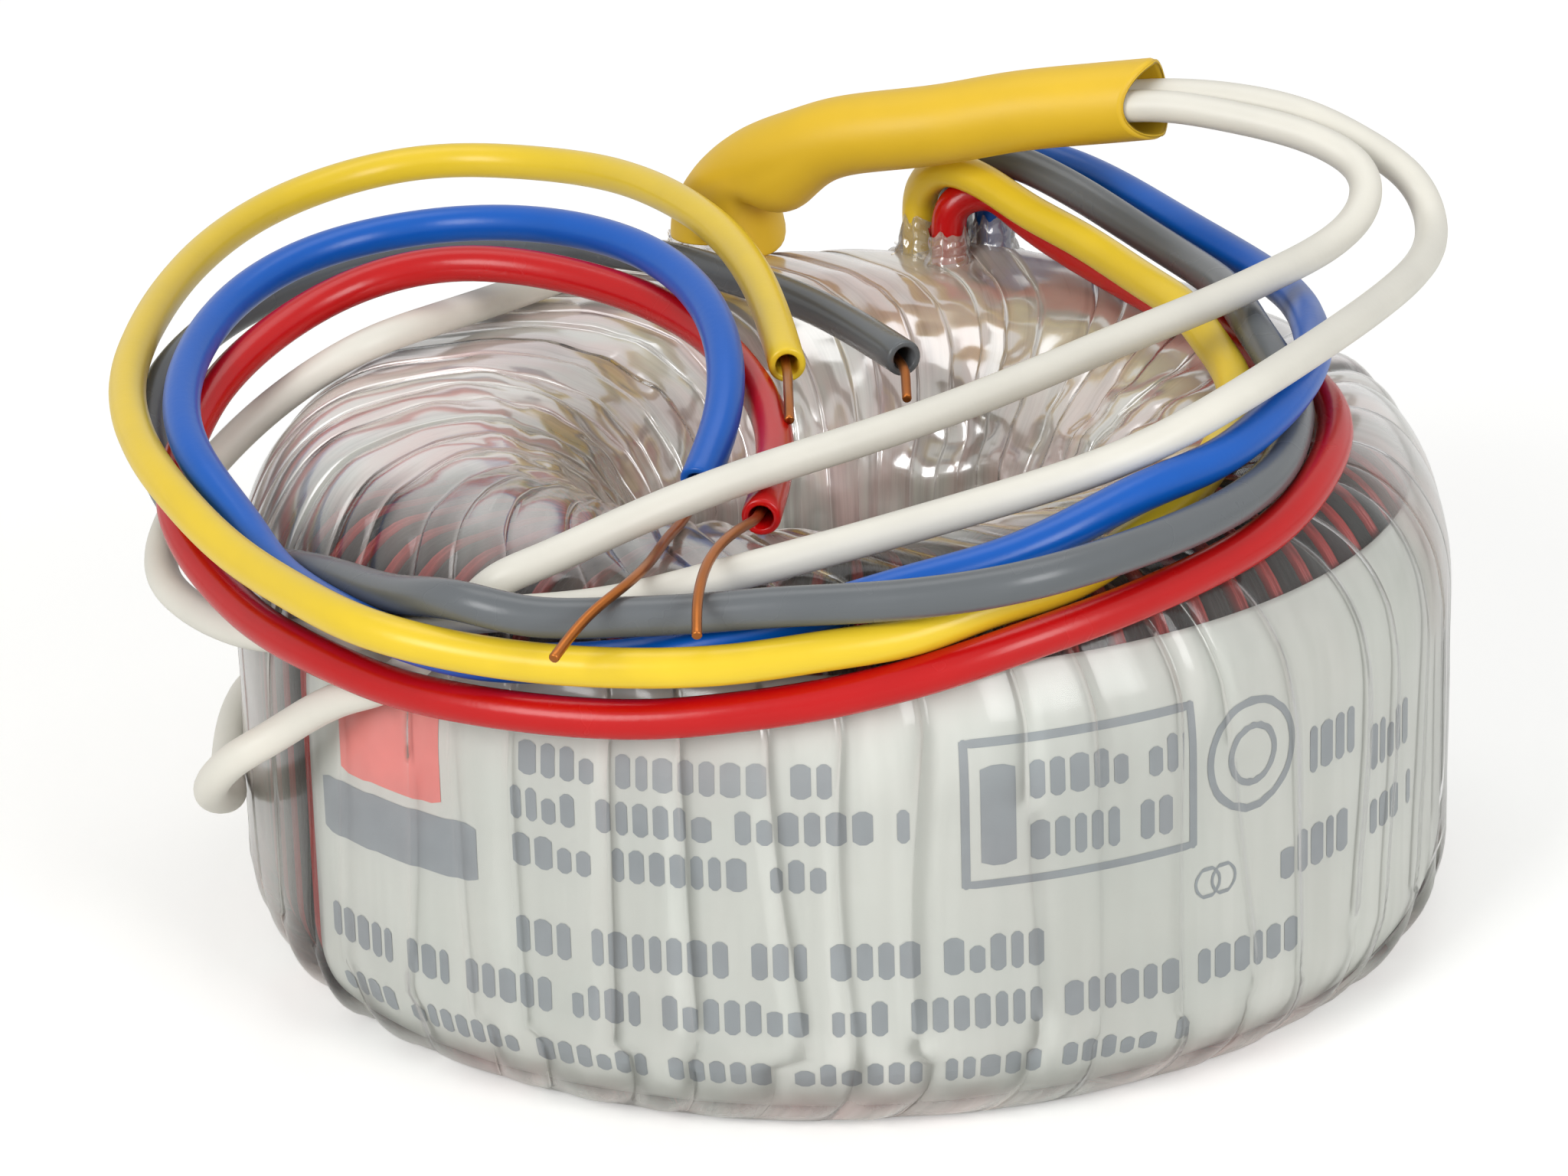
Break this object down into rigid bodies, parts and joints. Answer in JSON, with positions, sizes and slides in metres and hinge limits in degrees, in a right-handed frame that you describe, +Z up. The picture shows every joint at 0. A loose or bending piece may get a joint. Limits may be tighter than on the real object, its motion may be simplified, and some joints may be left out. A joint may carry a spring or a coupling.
{
  "type": "toroidal transformer",
  "caption": "Small ring-shaped mains transformer wrapped in clear film over a paper label, with an open centre hole and flying leads.",
  "frame": {"origin": "centre of the base of the ring, on its axis", "axes": "+Z up along the ring's axis, -Y toward the front where the label is read, +X to the right"},
  "size_m": [0.0693, 0.0686, 0.0396],
  "materials": {
    "core_steel": "wound silicon-steel strip",
    "core_tape": "polyester tape",
    "primary_copper": null,
    "winding_tape": "polyester tape",
    "secondary_red": null,
    "secondary_dark": null,
    "clear_film": "clear polyester film, glossy",
    "label_paper": "off-white paper under film",
    "sleeve_amber": "satin PVC sleeving",
    "pvc_white": "satin PVC insulation",
    "copper": null,
    "pvc_yellow": "satin PVC sleeving",
    "pvc_blue": "satin PVC sleeving",
    "pvc_red": "satin PVC sleeving",
    "pvc_grey": "satin PVC sleeving",
    "enamelled_wire": null
  },
  "bodies": {
    "root": {"steel_core": "core_steel", "core_insulation": "core_tape", "primary_winding": "primary_copper", "winding_tape": "winding_tape", "secondary_winding_a": "secondary_red", "secondary_winding_b": "secondary_dark", "under_film": "clear_film", "rating_label": "label_paper", "outer_film": "clear_film", "primary_collar": "clear_film", "secondary_collar": "clear_film", "primary_sleeve": "sleeve_amber", "white_lead_a": "pvc_white", "white_conductor_a": "copper", "white_lead_b": "pvc_white", "white_conductor_b": "copper", "yellow_sleeve": "pvc_yellow", "yellow_wire": "enamelled_wire", "blue_sleeve": "pvc_blue", "blue_wire": "enamelled_wire", "red_sleeve": "pvc_red", "red_wire": "enamelled_wire", "grey_sleeve": "pvc_grey", "grey_wire": "enamelled_wire"}
  },
  "joints": []
}
